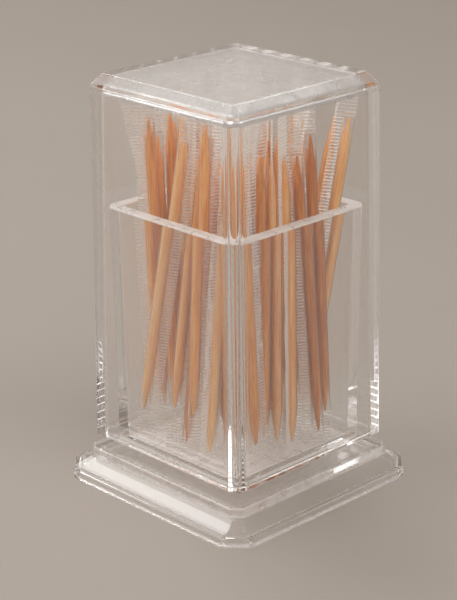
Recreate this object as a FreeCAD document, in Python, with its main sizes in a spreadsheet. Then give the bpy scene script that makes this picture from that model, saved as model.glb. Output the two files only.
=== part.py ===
"""Toothpick dispenser: a clear base, an open cup bonded to it, a lift-off hood, and wrapped toothpicks.

Millimetres. +Z is up. The origin is the middle of the base's foot, on the table. The sides of the
base, cup and hood face +X, -X, +Y and -Y.
"""
import FreeCAD, Part
import cmath
import itertools
import math
import os
import random
import Sketcher

# Driving dimensions: every cell of the sheet, as its alias, its value and what it measures.
SIZES = [
    ("base_width", 58.0, "base across its foot, side to side"),
    ("base_corner", 4.8, "leg of the chamfer on the base's corners"),
    ("lip_height", 3.0, "upright lip at the foot of the base"),
    ("skirt_run", 4.5, "how far the sloped skirt steps in on each side"),
    ("skirt_rise", 2.1, "height of the sloped skirt"),
    ("step_height", 2.0, "upright step between the skirt and the flat top"),
    ("base_wall", 2.2, "thickness of the base's skirt and top plate"),
    ("cup_room", 2.0, "gap from the cup's foot out to the hood's inner wall, on each side"),
    ("cup_flare_width", 0.6, "how far each side of the cup leans out, from its foot to its rim"),
    ("cup_height", 57.7, "cup from foot to rim"),
    ("cup_wall", 2.8, "cup wall"),
    ("cup_floor", 3.0, "cup floor"),
    ("cup_corner", 1.3, "leg of the chamfer on the cup's corners"),
    ("cup_fillet", 0.8, "radius inside the cup, in its corners and round its floor"),
    ("rim_round", 0.3, "radius on the edges of the cup's rim"),
    ("hood_mouth_width", 47.8, "hood across the outside at its open end"),
    ("hood_taper_width", 1.2, "how far each side of the hood leans in, from its open end to the bevel"),
    ("hood_side_height", 80.8, "hood from its open end to the bevel"),
    ("hood_bevel", 2.6, "height and run of the bevel round the hood's top"),
    ("hood_corner", 2.5, "leg of the chamfer on the hood's corners, at its open end"),
    ("hood_wall", 3.1, "hood wall"),
    ("hood_plate", 3.6, "hood top plate"),
    ("hood_fillet", 1.6, "radius inside the hood, in its corners"),
    ("ceiling_fillet", 1.2, "radius inside the hood, round its ceiling"),
    ("pick_length", 65.0, "toothpick, tip to tip"),
    ("pick_diameter", 2.0, "toothpick shank"),
    ("pick_taper", 8.5, "length of the point at each end of a toothpick"),
    ("pick_tip", 0.4, "diameter of a toothpick's blunt tip"),
    ("wrapper_length", 80.0, "film wrapper, end to end"),
    ("film", 0.15, "film of a wrapper"),
    ("sleeve_bore", 2.4, "inside of the sleeve that holds the toothpick"),
    ("seam_width", 2.2, "flat seam beside the sleeve"),
    ("seal_length", 2.5, "shortest flat seal at the end of a wrapper"),
    ("ceiling_gap", 0.3, "clearance between an upright wrapper and the hood's ceiling"),
    ("wrapper_gap", 0.35, "least clearance between two wrappers, and from a wrapper to a wall"),
    ("corner_space", 5.6, "side of the -X +Y corner that the wrappers leave free in the cup and the hood"),
    ("pick_count", 28, "wrapped toothpicks in the cup"),
    ("start_scatter", 1.2, "how far a wrapper may start from its even place on the cup's floor"),
    ("twist_angle", 42.0, "degrees that the bundle turns about its middle, from the floor to the ceiling"),
    ("bundle_share", 0.7, "how much of the cup's floor the even places take up"),
]

# A wrapper of PLACED moves by this share of what another one would, when two push each other apart.
PLACED_SHARE = 0.2
SEED = 11
GOLDEN_ANGLE = math.pi * (3 - math.sqrt(5))
MOST_SWEEPS = 400
CLOSE_ENOUGH = 0.02
# Toothpicks in plain sight, as they lean. The foot is a share of the cup floor's half diagonal, and the
# top one of the hood ceiling's: first along the +X +Y diagonal, then along the -X +Y one. Next comes how
# far the toothpick has slipped up in its wrapper, from 0 to 1, and the side of its seam, in degrees.
PLACED = [
    (-0.86, 0.00, -0.19, -0.43, 0.45, 0),
    (-0.30, 0.33, -0.80, 0.02, 0.40, 180),
    (-0.42, 0.12, -0.67, 0.17, 0.60, 90),
    (-0.56, -0.10, -0.50, 0.28, 0.80, 90),
    (-0.24, -0.62, 0.05, -0.59, 0.00, 230),
    (-0.40, -0.40, -0.05, -0.36, 0.05, 20),
    (-0.60, -0.22, -0.36, -0.12, 0.00, 100),
    (0.04, 0.20, 0.63, -0.14, 0.35, 90),
    (0.44, 0.10, 0.83, 0.08, 0.75, 90),
    (0.51, -0.08, 0.90, -0.02, 0.75, 190),
    (0.65, -0.22, 0.38, -0.33, 0.05, 180),
    (0.27, -0.42, 0.20, -0.47, 0.00, 270),
    (0.12, -0.27, 0.18, -0.17, 0.30, 90),
    (-0.17, 0.27, -0.12, 0.30, 0.00, 90),
    (-0.04, 0.38, 0.00, 0.42, 0.00, 60),
    (0.12, 0.31, 0.10, 0.28, 0.00, 120),
    (-0.08, 0.02, -0.12, 0.10, 0.05, 90),
]

doc = FreeCAD.newDocument("toothpick_dispenser")
sheet = doc.addObject("Spreadsheet::Sheet", "sizes")
for row, (alias, value, meaning) in enumerate(SIZES, start=1):
    sheet.set(f"A{row}", str(value))
    sheet.setAlias(f"A{row}", alias)
    sheet.set(f"B{row}", meaning)
doc.recompute()


def size(alias):
    """The value that the sheet holds under an alias."""
    return float(getattr(sheet, alias))


def half_widths():
    """Half the inside width at the cup's floor, at its rim and at the hood's ceiling."""
    mouth = size("hood_mouth_width") / 2 - size("hood_wall")
    floor = mouth - size("cup_room") - size("cup_wall")
    return floor, floor + size("cup_flare_width"), mouth - size("hood_taper_width")


def new_body(label):
    body = doc.addObject("PartDesign::Body", label)
    body.Label = label
    return body


def new_sketch(body, name, height="0"):
    """A sketch on the body's XY plane, lifted by an expression in the sheet's cells."""
    plane = next(f for f in body.Origin.OriginFeatures if f.Role == "XY_Plane")
    sketch = body.newObject("Sketcher::SketchObject", name)
    sketch.AttachmentSupport = (plane, [""])
    sketch.MapMode = "FlatFace"
    sketch.setExpression("AttachmentOffset.Base.z", height)
    return sketch


def drive(sketch, kind, geometry, name, expression):
    """Adds a dimension to a sketch and binds it to an expression in the sheet's cells."""
    index = sketch.addConstraint(Sketcher.Constraint(kind, *geometry, 1.0))
    sketch.renameConstraint(index, name)
    sketch.setExpression(f"Constraints.{name}", expression)


def square_sketch(body, name, height, width, corner):
    """A square centred on the origin, with its four corners cut at 45 degrees."""
    sketch = new_sketch(body, name, height)
    half, leg = 10.0, 2.0
    ring = [(half, leg - half), (half, half - leg), (half - leg, half), (leg - half, half),
            (-half, half - leg), (-half, leg - half), (leg - half, -half), (half - leg, -half)]
    points = [FreeCAD.Vector(x, y, 0) for x, y in ring]
    for start, end in zip(points, points[1:] + points[:1]):
        sketch.addGeometry(Part.LineSegment(start, end), False)
    for line in range(8):
        sketch.addConstraint(Sketcher.Constraint("Coincident", line, 2, (line + 1) % 8, 1))
    for line, direction in ((0, "Vertical"), (2, "Horizontal"), (4, "Vertical"), (6, "Horizontal")):
        sketch.addConstraint(Sketcher.Constraint(direction, line))
    drive(sketch, "DistanceX", (-1, 1, 0, 1), "right", f"({width}) / 2")
    drive(sketch, "DistanceY", (-1, 1, 2, 1), "back", f"({width}) / 2")
    drive(sketch, "DistanceX", (4, 1, -1, 1), "left", f"({width}) / 2")
    drive(sketch, "DistanceY", (6, 1, -1, 1), "front", f"({width}) / 2")
    for line, (dx, dy) in {1: (-1, 1), 3: (-1, -1), 5: (1, -1), 7: (1, 1)}.items():
        across = (line, 1, line, 2) if dx > 0 else (line, 2, line, 1)
        along = (line, 1, line, 2) if dy > 0 else (line, 2, line, 1)
        drive(sketch, "DistanceX", across, f"leg_x{line}", corner)
        drive(sketch, "DistanceY", along, f"leg_y{line}", corner)
    return sketch


def plain_square_sketch(body, name, height, width):
    """A square centred on the origin, with sharp corners."""
    sketch = new_sketch(body, name, height)
    half = 10.0
    ring = [(half, -half), (half, half), (-half, half), (-half, -half)]
    points = [FreeCAD.Vector(x, y, 0) for x, y in ring]
    for start, end in zip(points, points[1:] + points[:1]):
        sketch.addGeometry(Part.LineSegment(start, end), False)
    for line in range(4):
        sketch.addConstraint(Sketcher.Constraint("Coincident", line, 2, (line + 1) % 4, 1))
    for line, direction in ((0, "Vertical"), (1, "Horizontal"), (2, "Vertical"), (3, "Horizontal")):
        sketch.addConstraint(Sketcher.Constraint(direction, line))
    drive(sketch, "DistanceX", (-1, 1, 0, 1), "right", f"({width}) / 2")
    drive(sketch, "DistanceY", (-1, 1, 1, 1), "back", f"({width}) / 2")
    drive(sketch, "DistanceX", (2, 1, -1, 1), "left", f"({width}) / 2")
    drive(sketch, "DistanceY", (3, 1, -1, 1), "front", f"({width}) / 2")
    return sketch


def pad(body, name, sketch, length, cut=False):
    """Raises a sketch into a block, or cuts it upwards out of the body."""
    feature = body.newObject("PartDesign::Pocket" if cut else "PartDesign::Pad", name)
    feature.Profile = sketch
    feature.Reversed = cut
    feature.setExpression("Length", length)
    doc.recompute()
    return feature


def sides(shape, facing):
    """Names of a shape's upright faces that face away from the middle (facing = 1) or towards it (-1)."""
    names = []
    for index, face in enumerate(shape.Faces, start=1):
        middle = face.CenterOfMass
        normal = face.normalAt(*face.Surface.parameter(middle))
        outwards = normal.x * middle.x + normal.y * middle.y
        if abs(normal.z) < 0.5 and outwards * facing > 0:
            names.append(f"Face{index}")
    return names


def draft(body, name, base, facing, slope, widens):
    """Leans the side faces of a feature by a slope, turning them about the body's XY plane."""
    feature = body.newObject("PartDesign::Draft", name)
    feature.Base = (base, sides(base.Shape, facing))
    plane = next(f for f in body.Origin.OriginFeatures if f.Role == "XY_Plane")
    feature.NeutralPlane = (plane, [""])
    feature.Reversed = widens == (facing > 0)
    feature.setExpression("Angle", f"atan({slope})")
    doc.recompute()
    return feature


def edges_at(shape, wanted):
    """Names of a shape's edges whose middle point passes a test."""
    names = []
    for index, edge in enumerate(shape.Edges, start=1):
        middle = edge.valueAt((edge.FirstParameter + edge.LastParameter) / 2)
        if wanted(middle, edge):
            names.append(f"Edge{index}")
    return names


def fillet(body, name, base, radius, wanted):
    feature = body.newObject("PartDesign::Fillet", name)
    feature.Base = (base, edges_at(base.Shape, wanted))
    feature.setExpression("Radius", radius)
    doc.recompute()
    return feature


def bevel(body, name, base, across, down, wanted):
    """Cuts edges at an angle: a run across the level face and a drop along the upright face."""
    feature = body.newObject("PartDesign::Chamfer", name)
    feature.Base = (base, edges_at(base.Shape, wanted))
    feature.ChamferType = "Two distances"
    feature.setExpression("Size", down)
    feature.setExpression("Size2", across)
    doc.recompute()
    return feature


def is_upright(edge):
    box = edge.BoundBox
    return box.ZLength > 3 * max(box.XLength, box.YLength)


def is_level(middle, height):
    return abs(middle.z - height) < 0.001


# A wall of even thickness turns a chamfered corner when its chamfer leg shrinks by this share of the step.
LEG_LOSS = "(2 - sqrt(2))"
SKIRT_TOP = "(sizes.lip_height + sizes.skirt_rise)"
BASE_TOP = f"({SKIRT_TOP} + sizes.step_height)"
SLOPE = "(sizes.skirt_rise / sizes.skirt_run)"
KNEE = f"(sizes.lip_height + sizes.base_wall * ({SLOPE} - sqrt(1 + {SLOPE} * {SLOPE})))"


def stepped_form(body, name, width, corner, lip, top, cut=False):
    """The base's form: a lip, a sloped skirt and a smaller upright step, as a solid or as a hollow."""
    foot = square_sketch(body, f"{name}_foot", "0", width, corner)
    block = pad(body, f"{name}_block", foot, f"{lip} + sizes.skirt_rise", cut)
    height = foot.Placement.Base.z + block.Length.Value
    bevel(body, f"{name}_skirt", block, "sizes.skirt_run", "sizes.skirt_rise",
          lambda middle, edge: is_level(middle, height))
    step_corner = f"{corner} - sizes.skirt_run * {LEG_LOSS}"
    step_foot = square_sketch(body, f"{name}_step_foot", f"{lip} + sizes.skirt_rise",
                              f"{width} - 2 * sizes.skirt_run", step_corner)
    return pad(body, f"{name}_step", step_foot, f"{top} - {lip} - sizes.skirt_rise", cut)


def make_base():
    """The base: lip, sloped skirt and step, moulded as one shell that is open underneath."""
    body = new_body("base")
    stepped_form(body, "outside", "sizes.base_width", "sizes.base_corner", "sizes.lip_height", BASE_TOP)
    stepped_form(body, "hollow", "(sizes.base_width - 2 * sizes.base_wall)",
                 f"(sizes.base_corner - sizes.base_wall * {LEG_LOSS})", KNEE,
                 f"({BASE_TOP} - sizes.base_wall)", cut=True)
    return body


CUP_FOOT_WIDTH = "(sizes.hood_mouth_width - 2 * sizes.hood_wall - 2 * sizes.cup_room)"
CUP_DRAFT = "(sizes.cup_flare_width / sizes.cup_height)"


def make_cup():
    """The cup: four drafted walls on a thick floor, standing on the base's flat top."""
    body = new_body("cup")
    foot = square_sketch(body, "cup_foot", "0", CUP_FOOT_WIDTH, "sizes.cup_corner")
    block = pad(body, "cup_block", foot, "sizes.cup_height")
    outside = draft(body, "cup_outside", block, 1, CUP_DRAFT, widens=True)
    floor = plain_square_sketch(body, "cup_floor", "sizes.cup_floor", f"{CUP_FOOT_WIDTH} - 2 * sizes.cup_wall")
    hollow = pad(body, "cup_hollow", floor, "sizes.cup_height - sizes.cup_floor", cut=True)
    inside = draft(body, "cup_inside", hollow, -1, CUP_DRAFT, widens=True)
    reach = half_widths()[1] + 0.01
    floor_height = size("cup_floor")

    def inner_edge(middle, edge):
        within = abs(middle.x) < reach and abs(middle.y) < reach
        return within and (is_upright(edge) or is_level(middle, floor_height))

    rounded = fillet(body, "cup_inside_round", inside, "sizes.cup_fillet", inner_edge)
    rim_height = size("cup_height")
    fillet(body, "cup_rim_round", rounded, "sizes.rim_round",
           lambda middle, edge: is_level(middle, rim_height))
    body.setExpression("Placement.Base.z", BASE_TOP)
    return body


HOOD_HEIGHT = "(sizes.hood_side_height + sizes.hood_bevel)"
HOOD_CEILING = f"({HOOD_HEIGHT} - sizes.hood_plate)"
HOOD_DRAFT = "(sizes.hood_taper_width / sizes.hood_side_height)"
FLOOR_HEIGHT = f"({BASE_TOP} + sizes.cup_floor)"
HOOD_REST = f"({FLOOR_HEIGHT} + sizes.wrapper_length + sizes.ceiling_gap - {HOOD_CEILING})"


def make_hood():
    """The hood: drafted walls with chamfered corners, a bevel round the top and an open lower end."""
    body = new_body("hood")
    mouth = square_sketch(body, "hood_mouth", "0", "sizes.hood_mouth_width", "sizes.hood_corner")
    block = pad(body, "hood_block", mouth, HOOD_HEIGHT)
    outside = draft(body, "hood_outside", block, 1, HOOD_DRAFT, widens=False)
    top_height = size("hood_side_height") + size("hood_bevel")
    bevel(body, "hood_top_bevel", outside, "sizes.hood_bevel", "sizes.hood_bevel",
          lambda middle, edge: is_level(middle, top_height))
    inner_mouth = plain_square_sketch(body, "inner_mouth", "0",
                                      "sizes.hood_mouth_width - 2 * sizes.hood_wall")
    hollow = pad(body, "hood_hollow", inner_mouth, HOOD_CEILING, cut=True)
    inside = draft(body, "hood_inside", hollow, -1, HOOD_DRAFT, widens=False)
    reach = size("hood_mouth_width") / 2 - size("hood_wall") + 0.01

    def inner_corner(middle, edge):
        return abs(middle.x) < reach and abs(middle.y) < reach and is_upright(edge)

    rounded = fillet(body, "hood_corner_round", inside, "sizes.hood_fillet", inner_corner)
    ceiling_height = top_height - size("hood_plate")
    fillet(body, "hood_ceiling_round", rounded, "sizes.ceiling_fillet",
           lambda middle, edge: is_level(middle, ceiling_height))
    body.setExpression("Placement.Base.z", HOOD_REST)
    return body


def make_pick(label):
    """A round toothpick along its body's Z axis: a shank with a long point and a blunt tip at each end."""
    body = new_body(label)
    plane = next(f for f in body.Origin.OriginFeatures if f.Role == "XZ_Plane")
    sketch = body.newObject("Sketcher::SketchObject", f"{label}_profile")
    sketch.AttachmentSupport = (plane, [""])
    sketch.MapMode = "FlatFace"
    ring = [(0, 0), (0.2, 0), (1, 8), (1, 56), (0.2, 64), (0, 64)]
    points = [FreeCAD.Vector(x, y, 0) for x, y in ring]
    for start, end in zip(points, points[1:] + points[:1]):
        sketch.addGeometry(Part.LineSegment(start, end), False)
    for line in range(6):
        sketch.addConstraint(Sketcher.Constraint("Coincident", line, 2, (line + 1) % 6, 1))
    sketch.addConstraint(Sketcher.Constraint("Coincident", 0, 1, -1, 1))
    for line in (0, 4):
        sketch.addConstraint(Sketcher.Constraint("Horizontal", line))
    for line in (2, 5):
        sketch.addConstraint(Sketcher.Constraint("Vertical", line))
    drive(sketch, "DistanceX", (0, 1, 0, 2), "lower_tip", "sizes.pick_tip / 2")
    drive(sketch, "DistanceX", (4, 2, 4, 1), "upper_tip", "sizes.pick_tip / 2")
    drive(sketch, "DistanceX", (-1, 1, 2, 1), "shank", "sizes.pick_diameter / 2")
    drive(sketch, "DistanceY", (-1, 1, 1, 2), "lower_taper", "sizes.pick_taper")
    drive(sketch, "DistanceY", (3, 1, 3, 2), "upper_taper", "sizes.pick_taper")
    drive(sketch, "DistanceY", (-1, 1, 4, 2), "length", "sizes.pick_length")
    turn = body.newObject("PartDesign::Revolution", f"{label}_turned")
    turn.Profile = sketch
    turn.ReferenceAxis = (sketch, ["V_Axis"])
    turn.Angle = 360
    return body


def make_wrapper(label, lower_seal):
    """A film wrapper along its body's Z axis: a sleeve, a seam along +X beside it, and a flat seal at each end."""
    body = new_body(label)
    radius = "(sizes.sleeve_bore / 2 + sizes.film)"
    blade = new_sketch(body, f"{label}_blade")
    corners = [FreeCAD.Vector(x, y, 0) for x, y in ((-1, -0.1), (3, -0.1), (3, 0.1), (-1, 0.1))]
    for start, end in zip(corners, corners[1:] + corners[:1]):
        blade.addGeometry(Part.LineSegment(start, end), False)
    for line in range(4):
        blade.addConstraint(Sketcher.Constraint("Coincident", line, 2, (line + 1) % 4, 1))
    for line, direction in ((0, "Horizontal"), (1, "Vertical"), (2, "Horizontal"), (3, "Vertical")):
        blade.addConstraint(Sketcher.Constraint(direction, line))
    drive(blade, "DistanceX", (0, 1, -1, 1), "sleeve_side", radius)
    drive(blade, "DistanceX", (-1, 1, 0, 2), "seam_side", f"{radius} + sizes.seam_width")
    drive(blade, "DistanceY", (0, 1, -1, 1), "lower_film", "sizes.film")
    drive(blade, "DistanceY", (-1, 1, 2, 1), "upper_film", "sizes.film")
    strip = body.newObject("PartDesign::Pad", f"{label}_strip")
    strip.Profile = blade
    strip.setExpression("Length", "sizes.wrapper_length")

    sleeve_length = "sizes.pick_length"
    for part, circle_radius, kind in (("sleeve", radius, "Pad"), ("bore", "sizes.sleeve_bore / 2", "Pocket")):
        sketch = new_sketch(body, f"{label}_{part}_circle", f"{lower_seal} mm")
        sketch.addGeometry(Part.Circle(FreeCAD.Vector(0, 0, 0), FreeCAD.Vector(0, 0, 1), 1.0), False)
        sketch.addConstraint(Sketcher.Constraint("Coincident", 0, 3, -1, 1))
        drive(sketch, "Radius", (0,), "round", circle_radius)
        feature = body.newObject(f"PartDesign::{kind}", f"{label}_{part}")
        feature.Profile = sketch
        feature.Reversed = kind == "Pocket"
        feature.setExpression("Length", sleeve_length)
    return body


class Leaning:
    """One wrapped toothpick, seen from above. Places are complex numbers: x + y * 1j, in millimetres."""

    def __init__(self, foot, top, seam, slipped, ease):
        self.foot, self.top, self.seam, self.slipped, self.ease = foot, top, seam, slipped, ease

    def spots(self, level):
        """Centre and radius of the sleeve and of the seam, at a level from 0, the floor, to 1, the top."""
        sleeve = size("sleeve_bore") / 2 + size("film")
        seam = size("seam_width") / 2
        centre = self.foot * (1 - level) + self.top * level
        return (centre, sleeve), (centre + self.seam * (sleeve + seam), seam)

    def push(self, level, step):
        """Moves the wrapper by a step at one level, turning it as little as that needs."""
        weight = (1 - level) ** 2 + level ** 2
        self.foot += step * (1 - level) / weight
        self.top += step * level / weight


def start_bundle(dice):
    """The wrappers of PLACED, and the others spread evenly over the cup's floor and turned on their way up."""
    floor_half, _, ceiling_half = half_widths()
    diagonal = cmath.rect(math.sqrt(2), math.radians(45))
    bundle = []
    for foot_along, foot_back, top_along, top_back, slipped, seam_angle in PLACED:
        foot = complex(foot_along, foot_back) * diagonal * floor_half
        top = complex(top_along, top_back) * diagonal * ceiling_half
        bundle.append(Leaning(foot, top, cmath.rect(1, math.radians(45 + seam_angle)), slipped, PLACED_SHARE))
    others = int(size("pick_count")) - len(bundle)
    turn = cmath.rect(ceiling_half / floor_half, math.radians(size("twist_angle")))
    scatter = size("start_scatter")
    for number in range(others):
        way = cmath.rect(1, number * GOLDEN_ANGLE)
        to_wall = floor_half / max(abs(way.real), abs(way.imag))
        place = way * to_wall * math.sqrt((number + 1) / others) * size("bundle_share")
        foot = place + complex(dice.uniform(-1, 1), dice.uniform(-1, 1)) * scatter
        top = place * turn + complex(dice.uniform(-1, 1), dice.uniform(-1, 1)) * 2 * scatter
        seam_side = math.radians(135 + 180 * (number % 2) + dice.uniform(-30, 30))
        bundle.append(Leaning(foot, top, cmath.rect(1, seam_side), dice.uniform(0, 1), 1.0))
    return bundle


def part_neighbours(bundle, level, gap):
    """Pushes apart every two wrappers that are closer than the gap at a level. Returns the worst shortfall."""
    spots = [wrapper.spots(level) for wrapper in bundle]
    reach = 2 * (size("sleeve_bore") / 2 + size("film") + size("seam_width")) + gap
    worst = 0.0
    for first, second in itertools.combinations(range(len(bundle)), 2):
        if abs(spots[first][0][0] - spots[second][0][0]) > reach:
            continue
        for (here, radius), (there, other_radius) in itertools.product(spots[first], spots[second]):
            shortfall = radius + other_radius + gap - abs(there - here)
            if shortfall > 0:
                worst = max(worst, shortfall)
                step = (there - here) / max(abs(there - here), 0.01) * shortfall
                share = bundle[first].ease / (bundle[first].ease + bundle[second].ease)
                bundle[first].push(level, -step * share)
                bundle[second].push(level, step * (1 - share))
    return worst


def keep_inside(bundle, level, half, gap, keep_corner):
    """Pushes wrappers off the walls, and out of the free corner on the -X +Y side."""
    corner_way = cmath.rect(1, math.radians(135))
    for wrapper in bundle:
        for spot in (0, 1):
            centre, radius = wrapper.spots(level)[spot]
            room = half - radius - gap
            held = complex(max(-room, min(room, centre.real)), max(-room, min(room, centre.imag)))
            wrapper.push(level, held - centre)
            to_corner = (held * corner_way.conjugate()).real + radius
            over = to_corner - math.sqrt(2) * (half - size("corner_space") - gap)
            if keep_corner and over > 0:
                wrapper.push(level, -corner_way * over)


def settle_bundle(dice):
    """Lets the wrappers push each other and the walls until all of them have room from floor to ceiling."""
    bundle = start_bundle(dice)
    gap = size("wrapper_gap")
    floor_half, rim_half, ceiling_half = half_widths()
    rim_level = (size("cup_height") - size("cup_floor")) / size("wrapper_length")
    levels = [(rim_level * step / 6, floor_half, step < 5) for step in range(6)]
    levels += [(rim_level, rim_half, False)]
    levels += [(rim_level + (1 - rim_level) * step / 4, ceiling_half, True) for step in range(1, 5)]
    for sweep in range(MOST_SWEEPS):
        worst = 0.0
        for level, half, keep_corner in levels:
            worst = max(worst, part_neighbours(bundle, level, gap))
            keep_inside(bundle, level, half, gap, keep_corner)
        if worst < CLOSE_ENOUGH:
            break
    print(f"bundle settled after {sweep + 1} sweeps, {worst:.3f} mm short of the gap")
    return bundle


def place_along(body, foot, direction, seam, lift=0.0):
    """Stands a body's Z axis along a direction from a point, its X axis turned to the seam's side."""
    side = direction.cross(seam).normalize()
    forward = side.cross(direction).normalize()
    rotation = FreeCAD.Rotation(forward, side, direction, "ZXY")
    body.Placement = FreeCAD.Placement(foot + direction * lift, rotation)
    return rotation


def make_bundle():
    """The wrapped toothpicks, leaning in the cup as they fell."""
    dice = random.Random(SEED)
    floor_height = sum(size(part) for part in ("lip_height", "skirt_rise", "step_height", "cup_floor"))
    length = size("wrapper_length")
    slack = length - size("pick_length") - 2 * size("seal_length")
    near_edge = -(size("sleeve_bore") / 2 + size("film"))
    far_edge = size("seam_width") - near_edge
    film = size("film")
    made = []
    for number, wrapped in enumerate(settle_bundle(dice), start=1):
        across = wrapped.top - wrapped.foot
        rise = math.sqrt(length ** 2 - abs(across) ** 2)
        direction = FreeCAD.Vector(across.real, across.imag, rise).normalize()
        seam = FreeCAD.Vector(wrapped.seam.real, wrapped.seam.imag, 0)
        lower_seal = size("seal_length") + slack * wrapped.slipped
        wrapper = make_wrapper(f"wrapper_{number:02d}", lower_seal)
        pick = make_pick(f"pick_{number:02d}")
        start = FreeCAD.Vector(wrapped.foot.real, wrapped.foot.imag, floor_height)
        rotation = place_along(wrapper, start, direction, seam)
        corners = itertools.product((near_edge, far_edge), (-film, film))
        start.z -= min(rotation.multVec(FreeCAD.Vector(x, y, 0)).z for x, y in corners)
        place_along(wrapper, start, direction, seam)
        place_along(pick, start, direction, seam, lower_seal)
        made += [wrapper, pick]
    return made


pieces = [make_base(), make_cup(), make_hood()] + make_bundle()
doc.recompute()

for item in doc.Objects:
    failed = [word for word in item.State if word in ("Invalid", "Error")]
    if failed:
        raise RuntimeError(f"{item.Label} did not compute: {item.State}")
for body in pieces:
    if body.Shape.isNull() or not body.Shape.isValid() or len(body.Shape.Solids) != 1:
        raise RuntimeError(f"{body.Label} is not one valid solid")

os.makedirs("parts", exist_ok=True)
for body in pieces:
    body.Shape.exportStep(f"parts/{body.Label}.step")
    box = body.Shape.BoundBox
    print(f"{body.Label}: {body.Shape.Volume:.1f} mm3, z {box.ZMin:.2f} to {box.ZMax:.2f}")
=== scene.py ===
import math
import random

import bmesh
import bpy
import numpy as np
from mathutils import Matrix, Vector, noise


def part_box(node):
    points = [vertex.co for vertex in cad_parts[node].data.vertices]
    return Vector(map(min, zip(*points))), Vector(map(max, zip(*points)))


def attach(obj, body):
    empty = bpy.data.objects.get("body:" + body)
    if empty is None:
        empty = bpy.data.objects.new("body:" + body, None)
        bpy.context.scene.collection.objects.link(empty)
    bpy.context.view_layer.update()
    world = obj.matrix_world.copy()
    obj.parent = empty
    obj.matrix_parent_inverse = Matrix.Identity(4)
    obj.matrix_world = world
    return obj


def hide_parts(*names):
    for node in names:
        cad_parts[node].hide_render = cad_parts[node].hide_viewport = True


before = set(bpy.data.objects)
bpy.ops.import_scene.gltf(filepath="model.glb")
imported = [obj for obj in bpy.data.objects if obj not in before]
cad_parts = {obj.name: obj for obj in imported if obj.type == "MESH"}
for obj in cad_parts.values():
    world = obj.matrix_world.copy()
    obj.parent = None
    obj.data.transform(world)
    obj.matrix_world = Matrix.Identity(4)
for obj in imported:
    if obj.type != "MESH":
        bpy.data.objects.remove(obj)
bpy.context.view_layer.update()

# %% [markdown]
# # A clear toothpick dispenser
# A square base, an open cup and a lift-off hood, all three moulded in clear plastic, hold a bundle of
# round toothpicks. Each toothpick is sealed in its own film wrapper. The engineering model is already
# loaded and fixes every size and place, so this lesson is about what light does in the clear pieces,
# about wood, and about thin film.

MM = 0.001


def linear(code):
    """A colour written as on the web, such as #C8854E, as the linear numbers that a shader takes."""
    channels = [int(code[place:place + 2], 16) / 255 for place in (1, 3, 5)]
    return (*[c / 12.92 if c <= 0.04045 else ((c + 0.055) / 1.055) ** 2.4 for c in channels], 1.0)


def add_node(tree, kind, settings=None, values=None, links=None):
    """Adds a shader node, sets it up, and links its inputs to the outputs given."""
    node = tree.nodes.new(kind)
    for name, value in (settings or {}).items():
        setattr(node, name, value)
    for name, value in (values or {}).items():
        node.inputs[name].default_value = value
    for name, output in (links or {}).items():
        tree.links.new(output, node.inputs[name])
    return node


def new_material(name):
    """An empty node material, with its tree and its output node."""
    material = bpy.data.materials.new(name)
    material.use_nodes = True
    material.node_tree.nodes.clear()
    return material, material.node_tree, add_node(material.node_tree, "ShaderNodeOutputMaterial")


def object_from(mesh, name, material):
    """Turns a bmesh into an object with one material, and puts it in the scene."""
    data = bpy.data.meshes.new(name)
    mesh.to_mesh(data)
    mesh.free()
    data.materials.append(material)
    piece = bpy.data.objects.new(name, data)
    bpy.context.scene.collection.objects.link(piece)
    return piece


# %% [markdown]
# ## The camera
# The picture is taken corner-on from a little above: 20 degrees up, and turned by one degree past the
# diagonal. A long lens from 40 cm keeps the upright edges nearly parallel, as in the photograph.
# The numbers come from matching the corners of the base and the hood to the picture.

# %% Camera
VIEW_TURN = math.radians(46.0)
VIEW_RISE = math.radians(20.44)
VIEW_ROLL = math.radians(0.65)
VIEW_DISTANCE = 415.1 * MM
FOCAL_PIXELS = 1866.45
PICTURE_HEIGHT = 600
# The point that the camera aims at, in millimetres to the right of the axis and above the table.
AIM_RIGHT, AIM_HEIGHT = -1.85, 42.2

view_right = Vector((math.cos(VIEW_TURN), math.sin(VIEW_TURN), 0))
view_depth = Vector((-math.sin(VIEW_TURN), math.cos(VIEW_TURN), 0))
look = view_depth * math.cos(VIEW_RISE) - Vector((0, 0, math.sin(VIEW_RISE)))
level_up = view_right.cross(look)
camera_right = view_right * math.cos(VIEW_ROLL) - level_up * math.sin(VIEW_ROLL)
camera_up = view_right * math.sin(VIEW_ROLL) + level_up * math.cos(VIEW_ROLL)
target = view_right * AIM_RIGHT * MM + Vector((0, 0, AIM_HEIGHT * MM))

camera_data = bpy.data.cameras.new("camera")
camera_data.sensor_fit = "VERTICAL"
camera_data.sensor_height = 36
camera_data.lens = FOCAL_PIXELS / PICTURE_HEIGHT * camera_data.sensor_height
camera_data.clip_start = 0.01
camera = bpy.data.objects.new("camera", camera_data)
turned = Matrix((camera_right, camera_up, -look)).transposed().to_4x4()
camera.matrix_world = Matrix.Translation(target - look * VIEW_DISTANCE) @ turned
bpy.context.scene.collection.objects.link(camera)
bpy.context.scene.camera = camera
print("camera at", [round(c, 4) for c in camera.matrix_world.translation], "lens", round(camera_data.lens, 1))

# %% [markdown]
# ## Lamps and sky
# Clear plastic has no colour of its own: it only shows what its edges bend and mirror. Three large
# soft lamps, one behind on the left, one on the left and one in front, give the walls broad pale
# reflections. The sky goes from nearly white on the left to grey on the right, so that the two walls
# differ in tone and the edge between them reads.

# %% Lamps and sky
MIDDLE = Vector((0, 0, 45 * MM))
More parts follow.
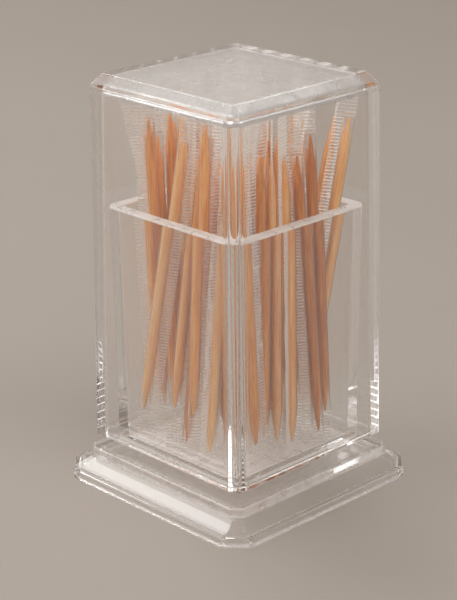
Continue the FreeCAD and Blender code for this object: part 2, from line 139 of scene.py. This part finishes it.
# Name, metres to the right, behind and above, then the lamp's two sides in metres, and its watts.
LAMPS = [
    ("window", -0.36, 0.58, 0.75, 0.5, 0.5, 2.5),
    ("left_panel", -0.60, -0.05, 0.45, 0.6, 0.6, 1.7),
    ("front_panel", 0.44, -0.55, 0.66, 0.9, 0.6, 4.3),
]
SKY_LEFT, SKY_RIGHT = linear("#EDE2D9"), linear("#776C64")
SKY_STRENGTH = 0.82

for name, right, behind, above, width, height, power in LAMPS:
    lamp = bpy.data.lights.new(name, "AREA")
    lamp.shape, lamp.size, lamp.size_y, lamp.energy = "RECTANGLE", width, height, power
    holder = bpy.data.objects.new(name, lamp)
    holder.location = view_right * right + view_depth * behind + Vector((0, 0, above))
    holder.rotation_euler = (MIDDLE - holder.location).to_track_quat("-Z", "Y").to_euler()
    bpy.context.scene.collection.objects.link(holder)

world = bpy.data.worlds.new("studio")
world.use_nodes = True
sky = world.node_tree
way = add_node(sky, "ShaderNodeTexCoord")
sideways = add_node(sky, "ShaderNodeVectorMath", {"operation": "DOT_PRODUCT"}, {1: view_right},
                    {0: way.outputs["Generated"]})
left_to_right = add_node(sky, "ShaderNodeMapRange", values={"From Min": -1.0, "From Max": 1.0},
                         links={"Value": sideways.outputs["Value"]})
wall = add_node(sky, "ShaderNodeMix", {"data_type": "RGBA"}, {"A": SKY_LEFT, "B": SKY_RIGHT},
                {"Factor": left_to_right.outputs["Result"]})
sky.links.new(wall.outputs["Result"], sky.nodes["Background"].inputs["Color"])
sky.nodes["Background"].inputs["Strength"].default_value = SKY_STRENGTH
bpy.context.scene.world = world
print(len(LAMPS), "soft lamps")

# %% [markdown]
# ## Floor
# The floor is a sheet of matt grey paper, plain and pale. Its tone wanders a little over about 11 cm,
# as a large sheet does under soft light, and its surface is too rough to mirror anything.

# %% Floor
FLOOR_HALF_SIDE = 3.0
# A pattern's scale is one over its size in metres, so 9 is a patch of 11 cm.
PAPER_MOTTLE = 9.0
PAPER_DARK, PAPER_LIGHT = linear("#A8A199"), linear("#AFA8A0")

paper, tree, output = new_material("matt_paper")
place = add_node(tree, "ShaderNodeTexCoord")
mottle = add_node(tree, "ShaderNodeTexNoise", values={"Scale": PAPER_MOTTLE, "Detail": 3.0},
                  links={"Vector": place.outputs["Object"]})
tone = add_node(tree, "ShaderNodeMix", {"data_type": "RGBA"}, {"A": PAPER_DARK, "B": PAPER_LIGHT},
                {"Factor": mottle.outputs["Fac"]})
surface = add_node(tree, "ShaderNodeBsdfPrincipled", values={"Roughness": 0.75},
                   links={"Base Color": tone.outputs["Result"]})
tree.links.new(surface.outputs["BSDF"], output.inputs["Surface"])

sheet = bmesh.new()
bmesh.ops.create_grid(sheet, x_segments=1, y_segments=1, size=FLOOR_HALF_SIDE)
floor = object_from(sheet, "floor", paper)
print("floor", 2 * FLOOR_HALF_SIDE, "metres wide")

# %% [markdown]
# ## How far light is followed
# Light is mirrored many times inside a clear wall before it leaves, and it passes through many films.
# With few bounces such light would end as black lines along the edges, so the limits are high.

# %% Bounces and view
cycles = bpy.context.scene.cycles
cycles.max_bounces = 40
cycles.transmission_bounces = 36
cycles.glossy_bounces = 36
cycles.transparent_max_bounces = 96
bpy.context.scene.view_settings.view_transform = "Standard"
print("light is followed for", cycles.max_bounces, "bounces")

# %% [markdown]
# ## Clear styrene
# The base, cup and hood are injection moulded in clear polystyrene, which bends light more than glass
# does. A few places are cloudy, as on the real one: the ceiling and the top bevel of the hood, the
# floor and the rim of the cup, and the top and the foot of the base. They are level bands, so the
# height in the piece says where they are, and a noise makes them patchy. On the hood the cloud is a
# dark grey-brown, which is painted shade that darkens its ceiling and top bevel.

# %% Cloudy places


def milkiness_in(tree, place, bands, patch, most_milk):
    """How milky the plastic is, in bands given by the millimetres of their middle and half height."""
    height = add_node(tree, "ShaderNodeSeparateXYZ", links={"Vector": place.outputs["Object"]})
    mottle = add_node(tree, "ShaderNodeTexNoise",
                      values={"Scale": 1000.0 / patch, "Detail": 7.0, "Roughness": 0.62, "Distortion": 0.8},
                      links={"Vector": place.outputs["Object"]})
    milk = add_node(tree, "ShaderNodeMapRange",
                    values={"From Min": 0.36, "From Max": 0.66, "To Min": most_milk / 2, "To Max": most_milk},
                    links={"Value": mottle.outputs["Fac"]})
    in_bands = [add_node(tree, "ShaderNodeMath", {"operation": "COMPARE"}, {1: level * MM, 2: half * MM},
                         {0: height.outputs["Z"]}).outputs["Value"] for level, half in bands]
    in_any = add_node(tree, "ShaderNodeMath", {"operation": "MAXIMUM"}, links=dict(enumerate(in_bands)))
    return add_node(tree, "ShaderNodeMath", {"operation": "MULTIPLY"},
                    links={0: in_any.outputs["Value"], 1: milk.outputs["Result"]}).outputs["Value"]


# %% [markdown]
# The surface is polished by the steel mould, so it is nearly smooth: a faint ripple from cooling, and
# fine scuffs from use. Light for the lamps and for rough surfaces goes straight through the plastic,
# so that the toothpicks inside are lit softly. If all of it were bent, as in a true glass, they would
# be dark and grainy.

# %% Clear styrene
CLEAR = linear("#FFFFFF")
STYRENE_IOR = 1.59
# The ripple is 17 mm across and the scuffs 1.1 mm, drawn coarser than real ones so that they show.
RIPPLE_SCALE, SCUFF_SCALE = 60.0, 900.0
RIPPLE_STRENGTH, RIPPLE_DEPTH = 0.1, 0.4 * MM
POLISHED, SCUFFED = 0.015, 0.12
# Cloudy plastic is rougher by half of its milkiness.
MILK_ROUGHNESS = 0.5
STRAIGHT_THROUGH = (0.98, 0.98, 0.98, 1)
# Light that has turned this often is caught in a wall, and goes straight on instead of ending black.
MOST_TURNS = 14


def clear_styrene(name, bands, patch, most_milk, milk_and_shade_colour):
    """Clear moulded plastic with two cloudy bands. patch is the size of a cloudy patch in millimetres. A dark
    cloud colour is painted shade.
    """
    material, tree, output = new_material(name)
    place = add_node(tree, "ShaderNodeTexCoord")
    milky = milkiness_in(tree, place, bands, patch, most_milk)
    clear = add_node(tree, "ShaderNodeMath", {"operation": "SUBTRACT"}, {0: 1.0}, {1: milky})
    tint = add_node(tree, "ShaderNodeMix", {"data_type": "RGBA"}, {"A": CLEAR, "B": linear(milk_and_shade_colour)},
                    {"Factor": milky})
    scuffs = add_node(tree, "ShaderNodeTexNoise", values={"Scale": SCUFF_SCALE, "Detail": 4.0},
                      links={"Vector": place.outputs["Object"]})
    rough = add_node(tree, "ShaderNodeMapRange",
                     values={"From Min": 0.55, "From Max": 0.8, "To Min": POLISHED, "To Max": SCUFFED},
                     links={"Value": scuffs.outputs["Fac"]})
    rougher = add_node(tree, "ShaderNodeMath", {"operation": "MULTIPLY_ADD"}, {1: MILK_ROUGHNESS},
                       {0: milky, 2: rough.outputs["Result"]})
    ripple = add_node(tree, "ShaderNodeTexNoise", values={"Scale": RIPPLE_SCALE, "Detail": 1.0},
                      links={"Vector": place.outputs["Object"]})
    bump = add_node(tree, "ShaderNodeBump", values={"Strength": RIPPLE_STRENGTH, "Distance": RIPPLE_DEPTH},
                    links={"Height": ripple.outputs["Fac"]})
    plastic = add_node(tree, "ShaderNodeBsdfPrincipled",
                       values={"Base Color": CLEAR, "IOR": STYRENE_IOR, "Transmission Weight": 1.0},
                       links={"Base Color": tint.outputs["Result"], "Roughness": rougher.outputs["Value"],
                              "Transmission Weight": clear.outputs["Value"],
                              "Normal": bump.outputs["Normal"]})
    straight = add_node(tree, "ShaderNodeBsdfTransparent", values={"Color": STRAIGHT_THROUGH})
    path = add_node(tree, "ShaderNodeLightPath")
    lighting = add_node(tree, "ShaderNodeMath", {"operation": "MAXIMUM"},
                        links={0: path.outputs["Is Shadow Ray"], 1: path.outputs["Is Diffuse Ray"]})
    caught = add_node(tree, "ShaderNodeMath", {"operation": "GREATER_THAN"}, {1: MOST_TURNS},
                      {0: path.outputs["Ray Depth"]})
    passing = add_node(tree, "ShaderNodeMath", {"operation": "MAXIMUM"},
                       links={0: lighting.outputs["Value"], 1: caught.outputs["Value"]})
    both = add_node(tree, "ShaderNodeMixShader", links={
        0: passing.outputs["Value"], 1: plastic.outputs["BSDF"], 2: straight.outputs["BSDF"]})
    tree.links.new(both.outputs["Shader"], output.inputs["Surface"])
    return material


# The base is cloudy at its top and foot, the cup at its floor and rim, the hood at its ceiling and bevel.
base_plastic = clear_styrene("clear_styrene_base", ((6.1, 1.0), (0.3, 0.35)), 5.0, 0.4, "#F6F1EC")
cup_plastic = clear_styrene("clear_styrene_cup", ((10.1, 0.4), (64.8, 0.4)), 5.0, 0.85, "#F6F1EC")
# The hood's dark grey-brown cloud is painted shade that darkens its ceiling and top bevel.
hood_plastic = clear_styrene("clear_styrene_hood", ((90.4, 0.4), (92.9, 0.9)), 7.0, 0.55, "#7E736A")
print("clear styrene of", len(hood_plastic.node_tree.nodes), "nodes")

# %% [markdown]
# ## Base, cup and hood
# A steel mould never gives a knife edge: each edge has a radius of a fraction of a millimetre, and
# that thin round is what draws the bright lines on clear plastic. So each piece starts as a copy of
# its engineering solid, has its loose triangles merged back into whole faces, and gets a small bevel.

# %% Base, cup and hood
SAME_POINT = 0.002 * MM
FLAT_WITHIN = math.radians(0.5)
# Edges that turn by less than this, such as the drafted walls' seams, stay as they are.
SHARP_FROM = math.radians(29)


def moulded(node, name, body, edge, material):
    """A copy of an engineering solid with its edges rounded, which then stands for that solid."""
    mesh = bmesh.new()
    mesh.from_mesh(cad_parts[node].data)
    bmesh.ops.remove_doubles(mesh, verts=mesh.verts, dist=SAME_POINT)
    bmesh.ops.dissolve_limit(mesh, angle_limit=FLAT_WITHIN, verts=mesh.verts, edges=mesh.edges)
    for face in mesh.faces:
        face.smooth = True
    piece = object_from(mesh, name, material)
    rounding = piece.modifiers.new("edge_round", "BEVEL")
    rounding.width, rounding.segments, rounding.limit_method = edge * MM, 2, "ANGLE"
    rounding.angle_limit = SHARP_FROM
    level = piece.modifiers.new("flat_faces", "WEIGHTED_NORMAL")
    level.mode, level.weight, level.keep_sharp = "FACE_AREA", 100, False
    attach(piece, body)
    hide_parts(node)
    print(name, len(piece.data.vertices), "corners", len(piece.data.polygons), "faces")
    return piece


base = moulded("base", "moulded_base", "stand", 0.45, base_plastic)
cup = moulded("cup", "moulded_cup", "stand", 0.2, cup_plastic)
hood = moulded("hood", "moulded_hood", "hood", 0.3, hood_plastic)

# %% [markdown]
# ## Where each toothpick stands
# The engineering model has the toothpicks in place, leaning as they fell. The two tips of a solid
# give its axis, and the wrapper's farthest corner gives the side that its seam is on.

# %% Axes read from the engineering model
ENGINEERED = 28
# Corners this close to the far end of a toothpick are its tip.
TIP = 0.01 * MM


def corners_of(node):
    """Every corner of an engineering solid, one in each row."""
    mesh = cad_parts[node].data
    flat = np.empty(len(mesh.vertices) * 3, np.float32)
    mesh.vertices.foreach_get("co", flat)
    return flat.reshape(-1, 3).astype(float)


def axis_of(corners):
    """Lower end and upward direction of a long thin solid."""
    centre = corners.mean(0)
    along = np.linalg.svd(corners - centre, full_matrices=False)[2][0]
    along = along if along[2] > 0 else -along
    reach = (corners - centre) @ along
    lower = corners[reach < reach.min() + TIP].mean(0)
    upper = corners[reach > reach.max() - TIP].mean(0)
    return lower, (upper - lower) / np.linalg.norm(upper - lower)


class Wrapped:
    """Where a toothpick stands: its lower tip, its axis, the side of its seam, and its film's two ends."""

    def __init__(self, number, foot, along, seam, film_start, film_end):
        self.number, self.foot, self.along, self.seam = number, foot, along, seam
        self.film_start, self.film_end = film_start, film_end
        columns = Matrix([list(seam), list(np.cross(along, seam)), list(along)]).transposed()
        self.place = Matrix.Translation(Vector(foot)) @ columns.to_4x4()


def from_engineering(number):
    """Reads where a toothpick and its wrapper stand from their solids."""
    foot, along = axis_of(corners_of(f"pick_{number:02d}"))
    film = corners_of(f"wrapper_{number:02d}")
    reach = (film - foot) @ along
    off_axis = film - foot - np.outer(reach, along)
    seam = off_axis[np.argmax(np.linalg.norm(off_axis, axis=1))]
    return Wrapped(number, foot, along, seam / np.linalg.norm(seam), reach.min(), reach.max())


engineered = [from_engineering(number) for number in range(1, ENGINEERED + 1)]
print(len(engineered), "toothpicks read from the engineering model")

# %% [markdown]
# ## Filling the cup
# The engineering model carries 28 wrapped toothpicks, as many as it has room for in its list of
# pieces. The real cup is fuller. The rest go into the gaps that are left, and a place counts if its
# sleeve and its flat seam stay clear of every other wrapper and of the walls, at seven heights from
# the floor to the ceiling.
#
# A first round of many random places finds few that are clear, because a gap is hardly wider than a
# wrapper. So the best of them are kept as a crowd, and each is nudged again and again and takes every
# nudge that gives it more room. The one with the most room becomes a toothpick, and the crowd, which
# now has to make room for it, is nudged on.

# %% Room round a leaning wrapper
# Lengths here are in millimetres.
FLOOR_HEIGHT, FILM_LENGTH, END_ROOM = 10.1, 80.0, 0.5
# From just above the floor of the cup to just under the ceiling.
HEIGHTS = np.linspace(FLOOR_HEIGHT + 0.5, FLOOR_HEIGHT + FILM_LENGTH - 1.0, 7)
# How far a wrapper may reach from the middle: inside the cup, and above its rim inside the hood.
IN_CUP, IN_HOOD = 16.0, 19.3
inside = np.where(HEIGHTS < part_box("cup")[1][2] / MM, IN_CUP, IN_HOOD)
# A wrapper is measured as a round sleeve and two thin spots in its flat seam.
SPOT_OFFSETS = np.array([0.0, 2.0, 3.1])
SPOT_RADII = np.array([1.27, 0.08, 0.08])


def spots_of(lower, upper, seam):
    """Centres of a wrapper's sleeve and seam at every height. Places are x + y * 1j."""
    rise = (HEIGHTS - FLOOR_HEIGHT) / FILM_LENGTH
    axis = lower[:, None] + (upper - lower)[:, None] * rise
    return axis[:, None, :] + (seam[:, None] * SPOT_OFFSETS)[:, :, None]


def ends_of(wrapping):
    """Where a wrapper's axis meets the floor of the cup and the ceiling, and its seam's direction."""
    flat = [wrapping.foot / MM + wrapping.along * (z - wrapping.foot[2] / MM) / wrapping.along[2]
            for z in (FLOOR_HEIGHT, FLOOR_HEIGHT + FILM_LENGTH)]
    seam = complex(*wrapping.seam[:2])
    return complex(*flat[0][:2]), complex(*flat[1][:2]), seam / abs(seam)


def clear_of(tried, placed):
    """Least room between each tried wrapper and the placed ones."""
    apart = np.abs(tried[:, :, None, None, :] - placed[None, None, :, :, :])
    room = apart - SPOT_RADII[None, :, None, None, None] - SPOT_RADII[None, None, None, :, None]
    return room.min(axis=(1, 2, 3, 4))


def room_of(lower, upper, seam, placed, batch=400):
    """Least room of every tried wrapper, to the placed wrappers and to the walls."""
    spots = spots_of(lower, upper, seam)
    reach = np.maximum(np.abs(spots.real), np.abs(spots.imag)) + SPOT_RADII[None, :, None]
    to_walls = (inside - reach).min(axis=(1, 2))
    parts = np.array_split(np.arange(len(lower)), len(lower) // batch + 1)
    return np.minimum(to_walls, np.concatenate([clear_of(spots[part], placed) for part in parts]))


placed = spots_of(*(np.array(column) for column in zip(*map(ends_of, engineered))))
print(len(placed), "wrappers measured at", len(HEIGHTS), "heights")

# %% More toothpicks, in the gaps
MOST_MORE = 24
FIRST_TRIES, CROWD = 12000, 400
TRIED_WITHIN, TRIED_LEAN = 15.0, 3.5
# A crowd is nudged in rounds, first far and then less and less.
NUDGES = np.linspace(0.9, 0.1, 12)
SHORTEST_SEAL, SEAL_SPREAD = 2.5, 8.0
chance = np.random.default_rng(4)


def nudged(places, far):
    """Places moved at random, by about the distance given."""
    return places + far * (chance.normal(size=len(places)) + 1j * chance.normal(size=len(places)))


def standing(number, lower, upper, seam):
    """A wrapped toothpick between a place on the floor and a place under the ceiling."""
    across, rise = upper - lower, math.sqrt(FILM_LENGTH ** 2 - abs(upper - lower) ** 2)
    along = np.array([across.real, across.imag, rise]) / FILM_LENGTH
    flat_seam = np.array([seam.real, seam.imag, 0.0])
    flat_seam -= along * (flat_seam @ along)
    seal = SHORTEST_SEAL + SEAL_SPREAD * chance.uniform()
    foot = np.array([lower.real, lower.imag, FLOOR_HEIGHT + END_ROOM]) + along * seal
    return Wrapped(number, foot * MM, along, flat_seam / np.linalg.norm(flat_seam),
                   -seal * MM, (FILM_LENGTH - END_ROOM - seal) * MM)


lower = (chance.uniform(-TRIED_WITHIN, TRIED_WITHIN, FIRST_TRIES)
         + 1j * chance.uniform(-TRIED_WITHIN, TRIED_WITHIN, FIRST_TRIES))
upper = nudged(lower, TRIED_LEAN)
seam = np.exp(1j * chance.uniform(0, math.tau, FIRST_TRIES))
room = room_of(lower, upper, seam, placed)
best = np.argsort(-room)[:CROWD]
crowd, room = (lower[best], upper[best], seam[best]), room[best]
more = []
while len(more) < MOST_MORE:
    for far in NUDGES:
        seam_turned = crowd[2] * np.exp(1j * far * chance.normal(size=len(room)))
        moved = (nudged(crowd[0], far), nudged(crowd[1], far), seam_turned)
        moved_room = room_of(*moved, placed)
        better = moved_room > room
        crowd = tuple(np.where(better, new, old) for new, old in zip(moved, crowd))
        room = np.maximum(room, moved_room)
    roomiest = int(np.argmax(room))
    if room[roomiest] < 0:
        break
    chosen = [column[roomiest] for column in crowd]
    more.append(standing(ENGINEERED + 1 + len(more), *chosen))
    placed = np.concatenate([placed, spots_of(*(np.array([value]) for value in chosen))])
    room = room_of(*crowd, placed)
wrapped = engineered + more
print(len(more), "more toothpicks fit in the gaps")

# %% [markdown]
# ## Birch wood
# Toothpicks are turned from birch, then tumbled and polished. The wood is pale orange-brown with
# fine darker fibres that run along the stick, a slight sheen, and each stick has its own tone. The
# pattern needs to follow the stick, so every stick carries its own coordinates as an attribute.

# %% Birch
# The attribute is in millimetres, so a pattern's scale is one over its width. Real fibres are finer
# than the picture can show, so they are drawn 0.4 mm wide. Patches of tone are 1.8 mm wide.
FIBRE_SCALE, PATCH_SCALE = 2.6, 0.55
# Along the stick both are 20 times as long.
LENGTHWISE = 0.05
FIBRE_WEIGHT, PATCH_WEIGHT = 0.7, 0.5
BIRCH_TONES = [(0.35, "#BC661A"), (0.62, "#EA9D4C"), (0.95, "#FAD096")]

birch, tree, output = new_material("polished_birch")
grain_place = add_node(tree, "ShaderNodeAttribute", {"attribute_name": "grain"})
tone_of = add_node(tree, "ShaderNodeAttribute", {"attribute_name": "tone"})
stretch = add_node(tree, "ShaderNodeMapping", values={"Scale": (1.0, 1.0, LENGTHWISE)},
                   links={"Vector": grain_place.outputs["Vector"]})
fibres = add_node(tree, "ShaderNodeTexNoise", values={"Scale": FIBRE_SCALE, "Detail": 4.0, "Roughness": 0.6},
                  links={"Vector": stretch.outputs["Vector"]})
patches = add_node(tree, "ShaderNodeTexNoise", values={"Scale": PATCH_SCALE, "Detail": 2.0},
                   links={"Vector": stretch.outputs["Vector"]})
with_patches = add_node(tree, "ShaderNodeMath", {"operation": "MULTIPLY_ADD"}, {1: PATCH_WEIGHT},
                        {0: patches.outputs["Fac"], 2: tone_of.outputs["Fac"]})
with_fibres = add_node(tree, "ShaderNodeMath", {"operation": "MULTIPLY_ADD"}, {1: FIBRE_WEIGHT},
                       {0: fibres.outputs["Fac"], 2: with_patches.outputs["Value"]})
ramp = add_node(tree, "ShaderNodeValToRGB", links={"Fac": with_fibres.outputs["Value"]})
tones = ramp.color_ramp.elements
tones.new(BIRCH_TONES[1][0])
for stop, (position, colour) in zip(tones, BIRCH_TONES):
    stop.position = position
    stop.color = linear(colour)
grain_bump = add_node(tree, "ShaderNodeBump", values={"Strength": 0.25, "Distance": 0.2 * MM},
                      links={"Height": fibres.outputs["Fac"]})
wood = add_node(tree, "ShaderNodeBsdfPrincipled",
                values={"Roughness": 0.5, "Subsurface Weight": 0.15, "Subsurface Scale": 0.8 * MM},
                links={"Base Color": ramp.outputs["Color"], "Normal": grain_bump.outputs["Normal"]})
tree.links.new(wood.outputs["BSDF"], output.inputs["Surface"])
print("birch from", len(tones), "tones")

# %% [markdown]
# ## Toothpicks
# A toothpick is a turned shape: half of its outline is spun round the axis. The points are slightly
# bulged, not straight cones, and end in a small blunt tip.

# %% Toothpicks
# Radius and height from the lower tip, in millimetres. The upper half mirrors it.
PICK_OUTLINE = [(0.0, 0.0), (0.16, 0.0), (0.22, 0.18), (0.46, 2.2), (0.72, 4.8), (0.92, 7.2), (1.0, 9.4)]
PICK_LENGTH, PICK_RADIUS = 65.0, 1.0
PICK_SIDES = 18
TONE_SPREAD = 0.21
dice = random.Random(5)


def make_pick(wrapping):
    """Spins one toothpick, gives it its own stretch of grain and its own tone, and puts it in place."""
    mesh = bmesh.new()
    lower_half = [Vector((radius, 0, height)) for radius, height in PICK_OUTLINE]
    upper_half = [Vector((point.x, 0, PICK_LENGTH - point.z)) for point in reversed(lower_half)]
    outline = lower_half + [Vector((PICK_RADIUS, 0, PICK_LENGTH / 2))] + upper_half
    chain = [mesh.verts.new(point * MM) for point in outline]
    edges = [mesh.edges.new(pair) for pair in zip(chain, chain[1:])]
    bmesh.ops.spin(mesh, geom=chain + edges, axis=(0, 0, 1), cent=(0, 0, 0), angle=math.tau,
                   steps=PICK_SIDES, use_merge=True)
    bmesh.ops.remove_doubles(mesh, verts=mesh.verts, dist=0.001 * MM)
    bmesh.ops.recalc_face_normals(mesh, faces=mesh.faces)
    grain = mesh.verts.layers.float_vector.new("grain")
    tone = mesh.verts.layers.float.new("tone")
    # Each stick is cut from its own place in the wood.
    shift = Vector((dice.uniform(0, 50), dice.uniform(0, 50), dice.uniform(0, 900)))
    own_tone = dice.uniform(-TONE_SPREAD, TONE_SPREAD)
    for vertex in mesh.verts:
        vertex[grain] = vertex.co / MM + shift
        vertex[tone] = own_tone
    for face in mesh.faces:
        face.smooth = True
    bmesh.ops.transform(mesh, matrix=wrapping.place, verts=mesh.verts)
    piece = object_from(mesh, f"toothpick_{wrapping.number:02d}", birch)
    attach(piece, "stand")
    if wrapping in engineered:
        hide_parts(f"pick_{wrapping.number:02d}")
    return piece


picks = [make_pick(wrapping) for wrapping in wrapped]
print(len(picks), "toothpicks of", len(picks[0].data.polygons), "faces")

# %% [markdown]
# ## Wrapper film
# The wrapper is clear polypropylene film, thinner than a hair. Seen square-on it nearly vanishes, and
# where it turns away it mirrors the room more and more, which a Layer Weight's Fresnel gives. Where
# two films are sealed together the heated jaws leave fine ribs, and the ribs are milky. So a mix
# lets most light straight through and shows the rest as a sheen, part mirror and part milk. As in
# the plastic, the light of the lamps passes it, or a bundle of 51 wrappers would be grey inside.

# %% Film
FILM_GLOSS = linear("#F8F4F0")
FILM_ROUGHNESS = 0.13
EDGE_BLEND = 0.31
CLEAREST, MILKIEST = 0.01, 0.55
# The milk keeps to the crests of the ribs: a higher power draws thinner lines.
RIB_POWER = 2.5

film, tree, output = new_material("polypropylene_film")
sealed = add_node(tree, "ShaderNodeAttribute", {"attribute_name": "sealed"})
rib_line = add_node(tree, "ShaderNodeMath", {"operation": "POWER"}, {1: RIB_POWER},
                    {0: sealed.outputs["Fac"]})
haze = add_node(tree, "ShaderNodeMapRange", values={"To Min": CLEAREST, "To Max": MILKIEST},
                links={"Value": rib_line.outputs["Value"]})
mirrored = add_node(tree, "ShaderNodeLayerWeight", values={"Blend": EDGE_BLEND}).outputs["Fresnel"]
seen = add_node(tree, "ShaderNodeMath", {"operation": "ADD", "use_clamp": True},
                links={0: mirrored, 1: haze.outputs["Result"]})
# Only half of what the mirror shows is metallic, because a full mirror makes the wood behind it dark.
twice_seen = add_node(tree, "ShaderNodeMath", {"operation": "MULTIPLY"}, {1: 2.0},
                      {0: seen.outputs["Value"]})
mirror_share = add_node(tree, "ShaderNodeMath", {"operation": "DIVIDE"},
                        links={0: mirrored, 1: twice_seen.outputs["Value"]})
gloss = add_node(tree, "ShaderNodeBsdfPrincipled",
                 values={"Base Color": FILM_GLOSS, "Roughness": FILM_ROUGHNESS},
                 links={"Metallic": mirror_share.outputs["Value"]})
path = add_node(tree, "ShaderNodeLightPath")
lighting = add_node(tree, "ShaderNodeMath", {"operation": "MAXIMUM"},
                    links={0: path.outputs["Is Shadow Ray"], 1: path.outputs["Is Diffuse Ray"]})
looked_at = add_node(tree, "ShaderNodeMath", {"operation": "SUBTRACT"}, {0: 1.0},
                     {1: lighting.outputs["Value"]})
shown = add_node(tree, "ShaderNodeMath", {"operation": "MULTIPLY"},
                 links={0: seen.outputs["Value"], 1: looked_at.outputs["Value"]})
through = add_node(tree, "ShaderNodeBsdfTransparent")
both = add_node(tree, "ShaderNodeMixShader",
                links={0: shown.outputs["Value"], 1: through.outputs["BSDF"], 2: gloss.outputs["BSDF"]})
tree.links.new(both.outputs["Shader"], output.inputs["Surface"])
print("film of", len(tree.nodes), "nodes")

# %% [markdown]
# ## Wrappers
# One closed tube of film makes the whole wrapper. A ring of points is extruded and cut into many
# rings, and then each ring is given its section: open round the toothpick, flat in the seam beside
# it, and flat all over at both ends. Fine ribs cross the seam.

# %% A wrapper's section
# Lengths here are in millimetres.
SLEEVE, SEAM_EDGE, FILM_HALF = 1.25, 3.50, 0.03
# The share of half a section that lies in the seam.
SEAM_SHARE = 0.30


def section(turn, openness):
    """A point of the wrapper's section. turn goes from 0 at the seam's edge, round the toothpick, to 1."""
    side = 1 if turn < 0.5 else -1
    way = turn if turn < 0.5 else 1 - turn
    if way < SEAM_SHARE:
        return SEAM_EDGE + (SLEEVE - SEAM_EDGE) * way / SEAM_SHARE, side * FILM_HALF
    swing = (way - SEAM_SHARE) / (0.5 - SEAM_SHARE) * math.pi
    return SLEEVE * math.cos(swing), side * max(FILM_HALF, SLEEVE * math.sin(swing) * openness)


print("an open wrapper is", 2 * round(section(0.4, 1.0)[1], 2), "mm thick")

# %% Wrappers
RING = 24
RIB_PITCH, RIB_HEIGHT = 0.74, 0.085
HALF_PITCH = RIB_PITCH / 2
# The film closes from 8 mm inside each tip to 1 mm beyond it.
CLOSED_BEYOND, CLOSES_OVER, CLOSING_CURVE = 1.0, 9.0, 0.7
# Sections less open than this are sealed flat from side to side.
FLAT_BELOW = 0.2
# The seam's ribs fade out over this much on each side of the sleeve's edge.
SEAM_FADE = 0.3
# Creases wander by this much, and by a share of it where the film is round.
CREASE_DEPTH, ROUND_CREASE = 0.14, 0.6
CREASE_ACROSS, CREASE_ALONG, CREASE_SHIFT = 0.5, 0.22, 13.7
# Milk between two ribs, at the flat ends, and on the toothpicks that fill the gaps.
TROUGH_MILK, END_MILK, MORE_MILK = 0.02, 0.6, 0.7
# Faces with less milk than this at their four corners are shaded smooth, and ribs stay crisp.
SMOOTH_BELOW = 0.1


def film_tube(length):
    """An open tube along Z with two rings for each rib. Its radius doesn't matter, only its turns do."""
    mesh = bmesh.new()
    bmesh.ops.create_circle(mesh, segments=RING, radius=1 * MM, cap_ends=False)
    lengthened = bmesh.ops.extrude_edge_only(mesh, edges=mesh.edges)
    far = [item for item in lengthened["geom"] if isinstance(item, bmesh.types.BMVert)]
    bmesh.ops.translate(mesh, verts=far, vec=(0, 0, length * MM))
    uprights = [edge for edge in mesh.edges if abs(edge.verts[0].co.z - edge.verts[1].co.z) > 1 * MM]
    bmesh.ops.subdivide_edges(mesh, edges=uprights, cuts=int(length / HALF_PITCH) - 1, use_grid_fill=True)
    return mesh


def make_wrapper(wrapping):
    """Shapes a tube of film round one toothpick: its sleeve, its ribbed seam and its two flat ends."""
    start, end = wrapping.film_start / MM, wrapping.film_end / MM
    mesh = film_tube(end - start)
    sealed = mesh.verts.layers.float.new("sealed")
    crease = Vector((0, 0, wrapping.number * CREASE_SHIFT))
    milkiness = 1.0 if wrapping in engineered else MORE_MILK
    for vertex in mesh.verts:
        turn = (math.atan2(vertex.co.y, vertex.co.x) % math.tau) / math.tau
        height = start + vertex.co.z / MM
        beyond = max(-height, height - PICK_LENGTH)
        openness = min(1.0, max(0.0, (CLOSED_BEYOND - beyond) / CLOSES_OVER)) ** CLOSING_CURVE
        x, y = section(turn, openness)
        rib = 1 if round(vertex.co.z / MM / HALF_PITCH) % 2 else -1
        in_seam = min(1.0, max(0.0, (x - SLEEVE + SEAM_FADE) / (2 * SEAM_FADE)))
        flatness = in_seam if openness > FLAT_BELOW else 1.0
        y += rib * RIB_HEIGHT * flatness
        wander = noise.noise(Vector((x * CREASE_ACROSS, 0, height * CREASE_ALONG)) + crease)
        y += CREASE_DEPTH * wander * (1 if flatness > 0 else ROUND_CREASE)
        vertex.co = Vector((x, y, height)) * MM
        rib_milk = flatness * (1.0 if rib > 0 else TROUGH_MILK)
        vertex[sealed] = rib_milk * milkiness * (1.0 if openness > FLAT_BELOW else END_MILK)
    bmesh.ops.holes_fill(mesh, edges=[edge for edge in mesh.edges if edge.is_boundary], sides=0)
    bmesh.ops.recalc_face_normals(mesh, faces=mesh.faces)
    for face in mesh.faces:
        face.smooth = sum(vertex[sealed] for vertex in face.verts) < SMOOTH_BELOW
    bmesh.ops.transform(mesh, matrix=wrapping.place, verts=mesh.verts)
    piece = object_from(mesh, f"film_wrapper_{wrapping.number:02d}", film)
    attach(piece, "stand")
    if wrapping in engineered:
        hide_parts(f"wrapper_{wrapping.number:02d}")
    return piece


wrappers = [make_wrapper(wrapping) for wrapping in wrapped]
print(len(wrappers), "wrappers of", len(wrappers[0].data.polygons), "faces")
